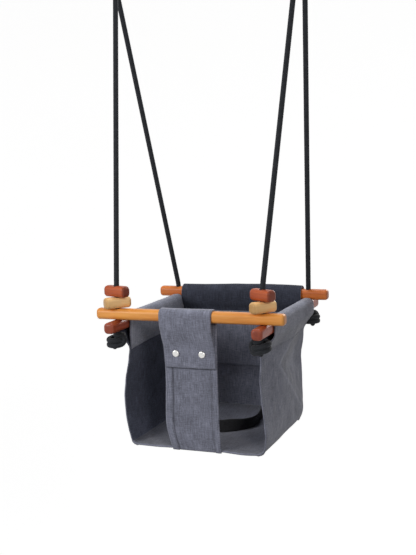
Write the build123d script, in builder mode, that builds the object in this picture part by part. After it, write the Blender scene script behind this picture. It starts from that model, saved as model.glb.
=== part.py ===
from build123d import *
import os
from math import cos, pi, radians, sin, sqrt

os.makedirs("parts", exist_ok=True)

# A toddler's bucket swing: a square frame of four wooden bars, a cloth seat hung from it, and on
# each side one rope that runs from a knot under the front corner up to a steel ring and down again
# to a knot under the back corner. Millimetres. X runs across the seat, -Y to its front, +Z up.
# The origin is midway between the two rings, at the height where a hook bears inside them.

# ------------------------------------------------------------------ driving dimensions
RING_X = 197.0            # each ring from the middle
HANG = 712.0              # from the rings' straight sides down to the front and back bars
WIRE = 8.0                # ring wire, diameter
RING_WIDE = 58.0          # ring between the centres of its wire
RING_HIGH = 48.0
RING_CORNER = 9.0

ROPE = 10.0               # braided rope, diameter
HOLES = 300.0             # between rope holes, both ways
HOLE = 12.0               # rope hole, diameter
BAR = 22.0                # bar section, square with rounded edges
BAR_LENGTH = 386.0
BAR_EDGE = 8.0            # the long edges are well rounded
BAR_END = 6.0             # and so are the ends
SPACER_LENGTH = 53.0
SPACER_YAWS = {"left": (46.0, -16.0), "right": (55.0, -28.0)}  # lower, upper: turned on the rope, degrees
LIFT_GAP = 0.3            # between pieces that only rest on each other

SEAT_WIDTH = 272.0        # outside, at the bottom
SEAT_DEPTH = 260.0
SEAT_DROP = 270.0         # from the bars' axes to the underside of the seat
CLOTH = 2.4               # one hemmed layer of canvas
SEWN = 4.0                # the doubled cloth of the walls
STRAP_WIDTH = 106.0

KNOT_WIDE, KNOT_HIGH = 39.0, 31.0
SNAP = 14.0               # snap cap, diameter
SNAP_APART = 54.0
SNAP_DROP = 72.0          # snaps below the bar's axis
FLAP_DROP = 99.0          # flap end below the bar's axis
WEBBING = 25.0            # lap belt, width
WEB_THICK = 1.8

# ------------------------------------------------------------------ heights and places that follow
RING_BAR_Z = -(RING_HIGH - WIRE / 2)          # axis of a ring's straight side
BAR_Z = RING_BAR_Z - HANG                     # axes of the front and back bars
SIDE_BAR_Z = BAR_Z - BAR - LIFT_GAP
HALF = HOLES / 2
FRONT, BACK = -HALF, HALF
SEAT_Z = BAR_Z - SEAT_DROP                    # underside of the seat
FLOOR_Z = SEAT_Z + 5.0                        # top of the seat base
KNOT_TOP = SIDE_BAR_Z - BAR / 2 - LIFT_GAP
SPACER_TOP = BAR_Z + BAR / 2 + 2 * (BAR + LIFT_GAP)
TURN_IN = WIRE / 2 + 0.1                      # inside of the rope where it turns on the ring
TURN_OUT = TURN_IN + ROPE
LEG_APART = 5.2                               # each leg from the ring's middle, along its straight side
LEG_TOP_Z = RING_BAR_Z - 22.0
LEG_TOP_Y = -(TURN_IN + ROPE / 2)


def save(solid, label):
    solid.label = label
    export_step(solid, f"parts/{label}.step")


def strip(points, thickness):
    """The outline of a strip of cloth whose middle follows the points."""
    sides = ([], [])
    for i, (u, v) in enumerate(points):
        before = points[max(i - 1, 0)]
        after = points[min(i + 1, len(points) - 1)]
        runs = []
        for (ua, va), (ub, vb) in ((before, (u, v)), ((u, v), after)):
            length = sqrt((ub - ua) ** 2 + (vb - va) ** 2)
            if length > 0:
                runs.append((-(vb - va) / length, (ub - ua) / length))
        nu = sum(run[0] for run in runs)
        nv = sum(run[1] for run in runs)
        size = sqrt(nu * nu + nv * nv)
        nu, nv = nu / size, nv / size
        mitre = thickness / 2 / (nu * runs[0][0] + nv * runs[0][1])
        sides[0].append((u + nu * mitre, v + nv * mitre))
        sides[1].append((u - nu * mitre, v - nv * mitre))
    return sides[0] + sides[1][::-1]


# ------------------------------------------------------------------ wood
def wooden_bar(label, centre, direction, length, hole_places):
    """A length of rounded square stock with upright rope holes."""
    with BuildPart() as bar:
        with BuildSketch(Plane(origin=centre, x_dir=(0, 0, 1), z_dir=direction)):
            RectangleRounded(BAR, BAR, BAR_EDGE)
        extrude(amount=length / 2, both=True)
        along = Axis(centre, direction)
        ends = bar.faces().sort_by(along)
        fillet(ends[0].edges() + ends[-1].edges(), BAR_END)
        with BuildSketch(Plane.XY.offset(centre[2])):
            with Locations(*hole_places):
                Circle(HOLE / 2)
        extrude(amount=BAR, both=True, mode=Mode.SUBTRACT)
        rims = bar.edges().filter_by(GeomType.CIRCLE).filter_by(lambda e: abs(e.radius - HOLE / 2) < 0.01)
        chamfer(rims, 0.8)
    save(bar.part, label)


for label, y in (("front_bar", FRONT), ("back_bar", BACK)):
    wooden_bar(label, (0, y, BAR_Z), (1, 0, 0), BAR_LENGTH, [(-HALF, y), (HALF, y)])
for label, x in (("left_side_bar", -HALF), ("right_side_bar", HALF)):
    wooden_bar(label, (x, 0, SIDE_BAR_Z), (0, 1, 0), BAR_LENGTH, [(x, FRONT), (x, BACK)])

# Two short spacers lie on each end of the front bar, and turn freely on the rope.
for side, x in (("left", -HALF), ("right", HALF)):
    for level, (height, yaw) in enumerate(zip(("lower", "upper"), SPACER_YAWS[side])):
        z = BAR_Z + (level + 1) * (BAR + LIFT_GAP)
        heading = (cos(radians(yaw)), sin(radians(yaw)), 0)
        wooden_bar(f"{side}_{height}_spacer", (x, FRONT, z), heading, SPACER_LENGTH, [(x, FRONT)])


# ------------------------------------------------------------------ rings and ropes
def hanging_ring(label, x):
    """A welded D of round wire: its straight side is below, where the rope turns on it."""
    half_wide = RING_WIDE / 2
    arch = half_wide - 0.1
    upright = Plane(origin=(x, 0, RING_BAR_Z), x_dir=(1, 0, 0), z_dir=(0, -1, 0))
    with BuildPart() as ring:
        with BuildLine(upright) as half_loop:
            FilletPolyline(
                (0, 0), (half_wide, 0), (half_wide, RING_HIGH), (0, RING_HIGH),
                radius=[RING_CORNER, arch - 1],
            )
        with BuildSketch(Plane(origin=half_loop.line @ 0, z_dir=half_loop.line % 0)):
            Circle(WIRE / 2)
        sweep(path=half_loop.line)
        mirror(about=Plane.YZ.offset(x))
    save(ring.part, label)


def ring_hitch(label, x):
    """The middle of a side's rope, turned twice over the ring's straight side and drawn tight."""
    turns, bight_wide, bight_high, bight_deep = 26.0, 34.0, 13.0, 18.0
    with BuildPart() as hitch:
        with BuildSketch(Plane.YZ.offset(x)):
            with Locations((0, RING_BAR_Z)):
                Circle(TURN_OUT)
        extrude(amount=turns / 2, both=True)
        with BuildSketch(Plane.XY.offset(LEG_TOP_Z + 1.5)):
            with Locations((x, LEG_TOP_Y - 4)):
                RectangleRounded(bight_wide, bight_deep, 6.0)
        extrude(amount=bight_high)
        with BuildSketch(Plane.YZ.offset(x)):
            with Locations((0, RING_BAR_Z)):
                Circle(TURN_IN)
        extrude(amount=bight_wide, both=True, mode=Mode.SUBTRACT)
    save(hitch.part, label)


def rope(label, path_points, bend=None):
    """A tube of rope along two points, or along three with one bend."""
    with BuildPart() as tube:
        with BuildLine() as path:
            if bend is None:
                Line(*path_points)
            else:
                FilletPolyline(*path_points, radius=bend)
        with BuildSketch(Plane(origin=path.line @ 0, z_dir=path.line % 0)):
            Circle(ROPE / 2)
        sweep(path=path.line)
    length = sum(edge.length for edge in path.edges())
    share = tube.part.volume / (pi * ROPE**2 / 4 * length)
    print(f"{label}: {length:.0f} mm long, volume {share:.3f} of its section x its length")
    save(tube.part, label)


def stopper_knot(label, x, y, tail_x):
    """The rope's end tied in a fist below the side bar, with a short tail to one side."""
    middle = KNOT_TOP - KNOT_HIGH / 2
    tail_plane = Plane(origin=(x + 6 * tail_x, y - 4, middle - 8), z_dir=(0.55 * tail_x, -0.25, -0.8))
    with BuildPart() as knot:
        with Locations((x, y, middle)):
            Cylinder(KNOT_WIDE / 2, KNOT_HIGH)
        fillet(knot.edges().filter_by(GeomType.CIRCLE), 13.0)
        with BuildSketch(tail_plane):
            Circle(ROPE / 2)
        extrude(amount=20)
    save(knot.part, label)


STUB_TOP = SPACER_TOP - 5.0         # the rope stands upright in the holes up to here, then leans
LEAN_FROM = SPACER_TOP + 2.0
for side, sign in (("left", -1), ("right", 1)):
    ring_x = sign * RING_X
    hanging_ring(f"{side}_ring", ring_x)
    ring_hitch(f"{side}_ring_hitch", ring_x)
    rope(f"{side}_rope_front_end", [(sign * HALF, FRONT, KNOT_TOP), (sign * HALF, FRONT, STUB_TOP)])
    rope(
        f"{side}_rope_front_leg",
        [
            (sign * HALF, FRONT, STUB_TOP),
            (sign * HALF, FRONT, LEAN_FROM),
            (ring_x - sign * LEG_APART, LEG_TOP_Y, LEG_TOP_Z),
        ],
        bend=50.0,
    )
    rope(
        f"{side}_rope_back_leg",
        [
            (sign * HALF, BACK, KNOT_TOP),
            (sign * HALF, BACK, BAR_Z + BAR / 2),
            (ring_x + sign * LEG_APART, LEG_TOP_Y, LEG_TOP_Z),
        ],
        bend=50.0,
    )
    stopper_knot(f"{side}_front_knot", sign * HALF, FRONT, -1)
    stopper_knot(f"{side}_back_knot", sign * HALF, BACK, sign)


# ------------------------------------------------------------------ cloth seat
SLEEVE_WIDE = 31.0                            # a looped sleeve, from face to face
SLEEVE_ROUND = 13.5
BACK_SLEEVE_HIGH, BACK_SLEEVE_DROP = 50.0, 8.0          # the drop is from the bar's axis to the sleeve's
SIDE_SLEEVE_HIGH, SIDE_SLEEVE_DROP = 38.0, 3.0
BACK_SLEEVE_HALF = 138.0                      # it fills the space between the side bars
SIDE_SLEEVE_FRONT, SIDE_SLEEVE_BACK = -118.0, 127.0
WALL_BACK_Y = SEAT_DEPTH / 2 + 2.0            # where the back wall meets the seat base
WALL_BEND = 150.0                             # the walls turn a little, this far below the bars' axes
BACK_SIDE_GAP = 6.0                           # from the back wall's edges to the outside of the seat
FACING_TOP, FACING_DROP = 38.0, 160.0         # top and bottom edge, below the bar's axis


def sleeve_section(centre, high):
    """The looped cloth round a bar, cut across."""
    with Locations(centre):
        RectangleRounded(SLEEVE_WIDE, high, SLEEVE_ROUND)
        RectangleRounded(
            SLEEVE_WIDE - 2 * CLOTH, high - 2 * CLOTH, SLEEVE_ROUND - CLOTH, mode=Mode.SUBTRACT
        )


sleeve_foot = BAR_Z - BACK_SLEEVE_DROP - BACK_SLEEVE_HIGH / 2 + CLOTH / 2
back_wall = [(BACK, sleeve_foot), (WALL_BACK_Y + 8, BAR_Z - WALL_BEND), (WALL_BACK_Y, FLOOR_Z + 1)]
with BuildPart() as back_panel:
    with BuildSketch(Plane.YZ):
        sleeve_section((BACK, BAR_Z - BACK_SLEEVE_DROP), BACK_SLEEVE_HIGH)
    extrude(amount=BACK_SLEEVE_HALF, both=True)
    with BuildSketch(Plane.YZ):
        with BuildLine():
            Polyline(*strip(back_wall, SEWN), close=True)
        make_face()
    extrude(amount=SEAT_WIDTH / 2 - BACK_SIDE_GAP, both=True)
save(back_panel.part, "back_panel")

# A second layer faces the back wall inside, from under the sleeve to a little above half way down.
facing_line = [
    (BACK - 6, BAR_Z - FACING_TOP),
    (WALL_BACK_Y + 3.5, BAR_Z - WALL_BEND),
    (WALL_BACK_Y + 3.2, BAR_Z - FACING_DROP),
]
with BuildPart() as back_facing:
    with BuildSketch(Plane.YZ):
        with BuildLine():
            Polyline(*strip(facing_line, CLOTH), close=True)
        make_face()
    extrude(amount=SEAT_WIDTH / 2 - BACK_SIDE_GAP - 4, both=True)
save(back_facing.part, "back_facing")


def side_panel(label, sign):
    """A side wall: looped over its bar, hemmed inside, and sewn to the seat base below."""
    bar_x = sign * HALF
    foot_x = sign * (SEAT_WIDTH / 2 - SEWN / 2)
    sleeve_foot = SIDE_BAR_Z - SIDE_SLEEVE_DROP - SIDE_SLEEVE_HIGH / 2 + CLOTH / 2
    wall = [(bar_x, sleeve_foot), (bar_x - 4 * sign, BAR_Z - WALL_BEND), (foot_x, SEAT_Z)]
    with BuildPart() as panel:
        with BuildSketch(Plane.XZ.offset(-SIDE_SLEEVE_BACK)):
            sleeve_section((bar_x, SIDE_BAR_Z - SIDE_SLEEVE_DROP), SIDE_SLEEVE_HIGH)
        extrude(amount=SIDE_SLEEVE_BACK - SIDE_SLEEVE_FRONT)
        with BuildSketch(Plane.XZ.offset(-SIDE_SLEEVE_BACK)):
            with BuildLine():
                Polyline(*strip(wall, SEWN), close=True)
            make_face()
        extrude(amount=SIDE_SLEEVE_BACK + SEAT_DEPTH / 2)
    save(panel.part, label)


for side, sign in (("left", -1), ("right", 1)):
    side_panel(f"{side}_side_panel", sign)

with BuildPart() as seat_base:
    with Locations((0, 0, (SEAT_Z + FLOOR_Z) / 2)):
        Box(SEAT_WIDTH - 2 * SEWN - 1.6, SEAT_DEPTH - 1, FLOOR_Z - SEAT_Z)
    fillet(seat_base.edges().filter_by(Axis.Z), 8.0)
save(seat_base.part, "seat_base")


# ------------------------------------------------------------------ crotch strap, flap and snaps
# The strap climbs from the seat's front edge, behind the front bar and over it. Its flap comes
# down in front of the bar and snaps on to the strap. Both are drawn in side view, (Y, Z).
STRAP_FACE = FRONT + 1.0                      # the strap's outer face where the snaps are
FLAP_BACK = STRAP_FACE - 3.2                  # the flap's inner face there
BAR_CLEAR = BAR / 2 + 0.8
FLAP = 2.2
hinge_y, hinge_z = FRONT, BAR_Z + BAR_CLEAR + CLOTH / 2
behind = FRONT + BAR_CLEAR + CLOTH / 2
at_snaps = STRAP_FACE + CLOTH / 2
strap_line = [
    (-SEAT_DEPTH / 2 - 3.2, SEAT_Z + 1),
    (-SEAT_DEPTH / 2 - 9, BAR_Z - 180),
    (at_snaps, BAR_Z - 96),
    (at_snaps, BAR_Z - 56),
    (behind, BAR_Z - 18),
    (behind, hinge_z - 5),
    (behind - 5, hinge_z),
    (hinge_y + 0.2, hinge_z),
]
ahead = FRONT - BAR_CLEAR - FLAP / 2
flap_at_snaps = FLAP_BACK - FLAP / 2
FLAP_START = 3.4                              # the fold at the top, from the hinge line
flap_line = [
    (hinge_y - FLAP_START, hinge_z),
    (ahead + 4, hinge_z),
    (ahead, hinge_z - 4),
    (ahead, BAR_Z - 16),
    (flap_at_snaps, BAR_Z - 56),
    (flap_at_snaps, BAR_Z - FLAP_DROP),
]
SHANK = 3.4
SNAP_Z = BAR_Z - SNAP_DROP
snap_places = [(-SNAP_APART / 2, SNAP_Z), (SNAP_APART / 2, SNAP_Z)]


def cloth_strap(label, line, thickness):
    """A cloth band drawn in side view, pierced for the snaps' shanks."""
    with BuildPart() as band:
        with BuildSketch(Plane.YZ):
            with BuildLine():
                Polyline(*strip(line, thickness), close=True)
            make_face()
        extrude(amount=STRAP_WIDTH / 2, both=True)
        with BuildSketch(Plane.XZ.offset(-FRONT)):
            with Locations(*snap_places):
                Circle(SHANK / 2 + 0.1)
        extrude(amount=12, both=True, mode=Mode.SUBTRACT)
    save(band.part, label)


cloth_strap("crotch_strap", strap_line, CLOTH)
cloth_strap("strap_flap", flap_line, FLAP)


def snap_pieces(label, face_y, steps, dome=0.0, bore=0.0):
    """Two turned pieces on the snaps' centres: steps are (radius, from, to) along -Y from face_y."""
    with BuildPart() as pieces:
        for radius, start, end in steps:
            with BuildSketch(Plane.XZ.offset(-face_y + start)):
                with Locations(*snap_places):
                    Circle(radius)
            extrude(amount=end - start)
        if bore:
            with BuildSketch(Plane.XZ.offset(-face_y + steps[0][1])):
                with Locations(*snap_places):
                    Circle(bore)
            extrude(amount=steps[0][2] - steps[0][1], mode=Mode.SUBTRACT)
        if dome:
            rim = pieces.faces().sort_by(Axis.Y)[:2].edges().filter_by(GeomType.CIRCLE)
            fillet(rim, dome)
    save(pieces.part, label)


flap_face = FLAP_BACK - FLAP
snap_pieces("snap_caps", flap_face, [(SNAP / 2, 0, 3.0), (SHANK / 2, -FLAP, 0)], dome=2.6)
snap_pieces("snap_sockets", FLAP_BACK, [(6.2, -2.0, 0)], bore=2.4)
snap_pieces("snap_studs", STRAP_FACE, [(6.2, 0, 0.8), (2.1, 0.8, 2.8)])
snap_pieces("snap_posts", STRAP_FACE + CLOTH, [(6.2, -0.9, 0), (SHANK / 2, 0, CLOTH)])


# ------------------------------------------------------------------ lap belt
# Two lengths of webbing stand on edge on the seat, from the back seam to a side-release buckle.
BELT_Z = FLOOR_Z + 0.3
BUCKLE_Y = -18.0
BUCKLE_LONG, BUCKLE_TALL, BUCKLE_DEEP = 40.0, 33.0, 11.0
mouth_x = -14.0                                          # open end of the socket
socket_end = mouth_x - BUCKLE_LONG
plug_end = mouth_x + 14.4
belt_lines = {
    "belt_right": [(66, 127), (65, 88), (57, 40), (38, 4), (18, -12), (plug_end + 0.4, BUCKLE_Y)],
    "belt_left": [(-64, 127), (-70, 90), (-76, 50), (-76, 14), (-68, -10), (socket_end - 0.4, BUCKLE_Y)],
}
for label, line in belt_lines.items():
    with BuildPart() as belt:
        with BuildSketch(Plane.XY.offset(BELT_Z)):
            with BuildLine():
                Polyline(*strip(line, WEB_THICK), close=True)
            make_face()
        extrude(amount=WEBBING)
    save(belt.part, label)

buckle_z = BELT_Z + BUCKLE_TALL / 2
with BuildPart() as buckle_socket:
    with BuildSketch(Plane.YZ.offset(socket_end)):
        with Locations((BUCKLE_Y, buckle_z)):
            RectangleRounded(BUCKLE_DEEP, BUCKLE_TALL, 4.0)
    extrude(amount=BUCKLE_LONG)
    with BuildSketch(Plane.YZ.offset(mouth_x)):
        with Locations((BUCKLE_Y, buckle_z)):
            RectangleRounded(BUCKLE_DEEP - 4.4, BUCKLE_TALL - 4.4, 2.0)
    extrude(amount=-26, mode=Mode.SUBTRACT)
    with Locations((mouth_x - 15, BUCKLE_Y, buckle_z)):
        Box(10, BUCKLE_DEEP - 4.4, BUCKLE_TALL + 2, mode=Mode.SUBTRACT)      # windows for the arms
    with Locations((socket_end + 5.5, BUCKLE_Y, buckle_z)):
        Box(5, BUCKLE_DEEP + 2, WEBBING + 1.5, mode=Mode.SUBTRACT)           # slot for the webbing
save(buckle_socket.part, "buckle_socket")

ARM, ARM_DEEP = 4.5, 4.8
arm_z = (BUCKLE_TALL - 4.4) / 2 - ARM / 2 - 0.5
with BuildPart() as buckle_plug:
    with BuildSketch(Plane.YZ.offset(plug_end)):
        with Locations((BUCKLE_Y, buckle_z)):
            RectangleRounded(BUCKLE_DEEP, BUCKLE_TALL, 4.0)
    extrude(amount=-14)
    with Locations((mouth_x - 12, BUCKLE_Y, buckle_z)):
        Box(26, ARM_DEEP, 5.0)                                               # guide tongue
    for side in (-1, 1):
        with Locations((mouth_x - 9.5, BUCKLE_Y, buckle_z + side * arm_z)):
            Box(21, ARM_DEEP, ARM)
    with Locations((plug_end - 5.5, BUCKLE_Y, buckle_z)):
        Box(5, BUCKLE_DEEP + 2, WEBBING + 1.5, mode=Mode.SUBTRACT)
save(buckle_plug.part, "buckle_plug")

print(f"bars at {BAR_Z:.1f}, seat underside at {SEAT_Z:.1f}, flap hinge at y {hinge_y:.1f} z {hinge_z:.2f}")
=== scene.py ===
from math import cos, exp, pi, radians, sin, sqrt

import bmesh
import bpy
from mathutils import Matrix, Vector, noise


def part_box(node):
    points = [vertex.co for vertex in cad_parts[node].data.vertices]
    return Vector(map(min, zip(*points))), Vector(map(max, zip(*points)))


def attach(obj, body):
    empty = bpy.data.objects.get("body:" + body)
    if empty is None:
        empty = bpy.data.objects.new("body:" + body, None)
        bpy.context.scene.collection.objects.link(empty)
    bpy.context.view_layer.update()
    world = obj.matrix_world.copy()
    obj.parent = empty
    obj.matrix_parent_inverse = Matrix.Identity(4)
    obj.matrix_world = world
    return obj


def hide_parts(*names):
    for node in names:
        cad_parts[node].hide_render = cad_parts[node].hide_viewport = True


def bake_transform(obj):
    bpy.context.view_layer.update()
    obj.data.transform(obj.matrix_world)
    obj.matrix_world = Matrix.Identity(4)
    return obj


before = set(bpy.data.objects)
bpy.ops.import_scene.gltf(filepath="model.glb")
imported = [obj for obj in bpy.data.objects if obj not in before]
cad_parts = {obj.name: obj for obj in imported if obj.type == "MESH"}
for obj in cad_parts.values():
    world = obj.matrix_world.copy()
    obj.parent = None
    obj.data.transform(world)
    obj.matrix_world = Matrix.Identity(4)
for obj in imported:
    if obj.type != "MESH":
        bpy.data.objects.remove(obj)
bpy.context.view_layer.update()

# A canvas bucket swing on black braided rope. Everything is in metres in the CAD frame: the origin
# is midway between the two rings, +X right across the seat, -Y to its front, +Z up.
MM = 0.001
scene = bpy.context.scene

# ---- places taken from the frame
ring_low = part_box("right_ring")[0]
RING_BAR_Z = ring_low.z + 4 * MM  # axis of the rings' straight sides
RING_X = sum(corner.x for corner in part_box("right_ring")) / 2
bar_low, bar_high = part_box("front_bar")
BAR_Z = (bar_low.z + bar_high.z) / 2
BAR_HALF = (bar_high.z - bar_low.z) / 2
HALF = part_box("back_bar")[0].y + BAR_HALF  # rope holes from the middle, both ways
SIDE_BAR_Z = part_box("left_side_bar")[0].z + BAR_HALF
KNOT_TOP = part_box("left_front_knot")[1].z
SPACER_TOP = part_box("left_upper_spacer")[1].z
SEAT_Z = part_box("seat_base")[0].z
LIFT = 0.06  # how far the front bar goes up the ropes


def below(mm):
    """Height of a point that many millimetres below the front bar's axis."""
    return BAR_Z - mm * MM


# ---- camera
CAMERA_AT = Vector((0.7208, -1.8158, BAR_Z + 0.3185))
SENSOR, LENS = 36, 62.88  # millimetres
CAMERA_YAW, CAMERA_PITCH, CAMERA_ROLL = radians(22.14), radians(7.70), radians(-1.96)
camera = bpy.data.objects.new("camera", bpy.data.cameras.new("camera"))
scene.collection.objects.link(camera)
camera.matrix_world = Matrix.Translation(CAMERA_AT)
for angle, axis in ((CAMERA_YAW, "Z"), (pi / 2 - CAMERA_PITCH, "X"), (CAMERA_ROLL, "Z")):
    camera.matrix_world = camera.matrix_world @ Matrix.Rotation(angle, 4, axis)
camera.data.sensor_width = SENSOR
camera.data.lens = LENS
camera.data.clip_end = 50
scene.camera = camera


# ---- mesh helpers
def add_mesh(name, verts, faces, uvs=None):
    """A new mesh object. uvs has one (u, v) for each vertex, in metres along the cloth or wood."""
    mesh = bpy.data.meshes.new(name)
    mesh.from_pydata([tuple(v) for v in verts], [], faces)
    if uvs is not None:
        layer = mesh.uv_layers.new(name="cloth")
        for loop in mesh.loops:
            layer.data[loop.index].uv = uvs[loop.vertex_index]
    mesh.update()
    mesh.shade_smooth()
    obj = bpy.data.objects.new(name, mesh)
    scene.collection.objects.link(obj)
    return obj


def smoothstep(a, b, x):
    """0 up to a and 1 from b on, with a smooth rise between. It falls instead where a is past b."""
    t = min(max((x - a) / (b - a), 0.0), 1.0)
    return t * t * (3 - 2 * t)


def ridge(x, edge, width=1.2 * MM):
    """0 before an edge and 1 after it, over a short width."""
    return smoothstep(edge - width / 2, edge + width / 2, x)


def bell(x, middle, width):
    """1 at the middle, falling to nothing over about twice the width."""
    return exp(-(((x - middle) / width) ** 2))


def cubic(t, a, b, slope_a, slope_b):
    """The place t of the way along a smooth line from a to b that leaves and arrives at these slopes."""
    return (
        (2 * t**3 - 3 * t**2 + 1) * a
        + (t**3 - 2 * t**2 + t) * slope_a
        + (-2 * t**3 + 3 * t**2) * b
        + (t**3 - t**2) * slope_b
    )


def interpolate(table, x):
    """The value at x of a smooth line through the table's (x, value) rows, which rise in x."""
    if x <= table[0][0]:
        return table[0][1]
    for i in range(len(table) - 1):
        (xa, va), (xb, vb) = table[i], table[i + 1]
        if x <= xb:
            before = table[max(i - 1, 0)]
            after = table[min(i + 2, len(table) - 1)]
            slope_a = (vb - before[1]) / (xb - before[0])
            slope_b = (after[1] - va) / (after[0] - xa)
            span = xb - xa
            return cubic((x - xa) / span, va, vb, span * slope_a, span * slope_b)
    return table[-1][1]


def nurbs_line(name, route, resolution=24):
    """The smooth line of a rope whose control points are the route, as a list of points in order."""
    curve = bpy.data.curves.new(name, "CURVE")
    curve.dimensions = "3D"
    curve.resolution_u = resolution
    spline = curve.splines.new("NURBS")
    spline.points.add(len(route) - 1)
    for point, place in zip(spline.points, route):
        point.co = (*place, 1)
    spline.order_u = 3
    spline.use_endpoint_u = True
    holder = bpy.data.objects.new(name, curve)
    mesh = bpy.data.meshes.new_from_object(holder)
    line = [vertex.co.copy() for vertex in mesh.vertices]
    bpy.data.objects.remove(holder)
    bpy.data.curves.remove(curve)
    bpy.data.meshes.remove(mesh)
    return line


def running_lengths(line):
    """How far along a line each of its points is."""
    lengths = [0.0]
    for a, b in zip(line, line[1:]):
        lengths.append(lengths[-1] + (b - a).length)
    return lengths


def along(line, step):
    """Points evenly spread along a line, about a step apart."""
    lengths = running_lengths(line)
    count = max(1, round(lengths[-1] / step))
    points, i = [], 0
    for k in range(count + 1):
        place = lengths[-1] * k / count
        while i < len(line) - 2 and lengths[i + 1] < place:
            i += 1
        run = lengths[i + 1] - lengths[i]
        points.append(line[i].lerp(line[i + 1], (place - lengths[i]) / run if run else 0.0))
    return points


# ---- rope
ROPE_R = 5.3 * MM  # to the crowns of its strands
AROUND = 32  # vertices round a rope
STRANDS = 8  # strands that wind each way in the braid
BRAID = 18 * MM  # length of one turn of a strand
RELIEF = 0.55 * MM  # from a strand's crown down to the gap beside it


def braid_rise(angle, length):
    """How far the braid stands out: 1 on the crown of the strand on top, 0 between two strands."""
    winding = 2 * pi * length / BRAID
    a, b = STRANDS / 2 * (angle - winding), STRANDS / 2 * (angle + winding)
    over = sin(a) * sin(b)
    rise_a, rise_b = abs(cos(a)), abs(cos(b))
    share = smoothstep(-0.35, 0.35, over)
    return share * rise_a + (1 - share) * rise_b


def rope_tube(name, line, radius=ROPE_R, step=1.4 * MM, round_end=False):
    """A braided rope along a line, with its strands as relief. UVs run round and along it, in metres."""
    points = along(line, step)
    frames, normal = [], None
    for i, point in enumerate(points):
        tangent = (points[min(i + 1, len(points) - 1)] - points[max(i - 1, 0)]).normalized()
        if normal is None:
            normal = tangent.orthogonal().normalized()
        normal = (normal - tangent * normal.dot(tangent)).normalized()
        frames.append((point, normal.copy(), tangent.cross(normal)))
    total = step * (len(points) - 1)
    verts, uvs = [], []
    for i, (point, normal, side) in enumerate(frames):
        reach = i * step
        size = radius
        if round_end and total - reach < radius:
            size *= sqrt(max(1 - (1 - (total - reach) / radius) ** 2, 0.02))
        for k in range(AROUND + 1):
            angle = 2 * pi * k / AROUND
            r = size - RELIEF * (1 - braid_rise(angle, reach)) * size / radius
            verts.append(point + r * (cos(angle) * normal + sin(angle) * side))
            uvs.append((angle * radius, reach))
    row = AROUND + 1
    faces = [
        (i * row + k, i * row + k + 1, (i + 1) * row + k + 1, (i + 1) * row + k)
        for i in range(len(frames) - 1)
        for k in range(AROUND)
    ]
    faces.append(tuple(reversed(range(AROUND))))
    faces.append(tuple((len(frames) - 1) * row + k for k in range(AROUND)))
    tube = add_mesh(name, verts, faces, uvs)
    close_seam(tube)
    return tube


def close_seam(obj):
    """Joins the vertices that lie on each other where a grid closes on itself."""
    work = bmesh.new()
    work.from_mesh(obj.data)
    bmesh.ops.remove_doubles(work, verts=work.verts, dist=1e-6)
    bmesh.ops.recalc_face_normals(work, faces=work.faces)
    work.to_mesh(obj.data)
    work.free()
    obj.data.update()


LEG_APART = 5.2 * MM  # each leg from the ring's middle, along its straight side
WRAP = 9.3 * MM  # rope's middle from the ring wire's
LEG_TOP_Z = RING_BAR_Z - 22 * MM


def rope_route(side):
    """Control points of one side's rope, from the front bar's hole over the ring to the back knot.

    side is -1 on the left and 1 on the right. The rope climbs from the front, is hitched on the ring's
    straight side, and comes down to the back, outside the front leg.
    """
    ring, hole = side * RING_X, side * HALF
    front_top = Vector((ring - side * LEG_APART, -WRAP, LEG_TOP_Z))
    back_top = Vector((ring + side * LEG_APART, -WRAP, LEG_TOP_Z))
    front_corner = Vector((hole, -HALF, SPACER_TOP + 2 * MM))
    back_corner = Vector((hole, HALF, BAR_Z + BAR_HALF))
    front_lean = (front_top - front_corner).normalized()
    back_lean = (back_top - back_corner).normalized()
    turn = [
        (LEG_APART * 1.1, -WRAP, 1 * MM),
        (LEG_APART * 1.3, -WRAP, WRAP),
        (10.0 * MM, WRAP, WRAP),
        (14.2 * MM, WRAP, -10.5 * MM),
        (16.6 * MM, -3 * MM, -12.5 * MM),
        (16.0 * MM, -19.4 * MM, -12.0 * MM),
    ]
    over = [Vector((ring - side * x, y, RING_BAR_Z + z)) for x, y, z in turn]
    back_over = [Vector((ring + side * x, y, RING_BAR_Z + z)) for x, y, z in reversed(turn)]
    return [
        Vector((hole, -HALF, BAR_Z - 10 * MM)),
        Vector((hole, -HALF, BAR_Z + 32 * MM)),
        *(front_corner + reach * MM * front_lean for reach in (0, 30, 90)),
        *(front_top - reach * MM * front_lean for reach in (60, 18)),
        front_top + Vector((0, 0, 4 * MM)),
        *over,
        *back_over,
        back_top + Vector((0, 0, 4 * MM)),
        *(back_top - reach * MM * back_lean for reach in (18, 60)),
        *(back_corner + reach * MM * back_lean for reach in (90, 30, 0)),
        Vector((hole, HALF, BAR_Z - 16 * MM)),
        Vector((hole, HALF, KNOT_TOP - 6 * MM)),
    ]


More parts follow.
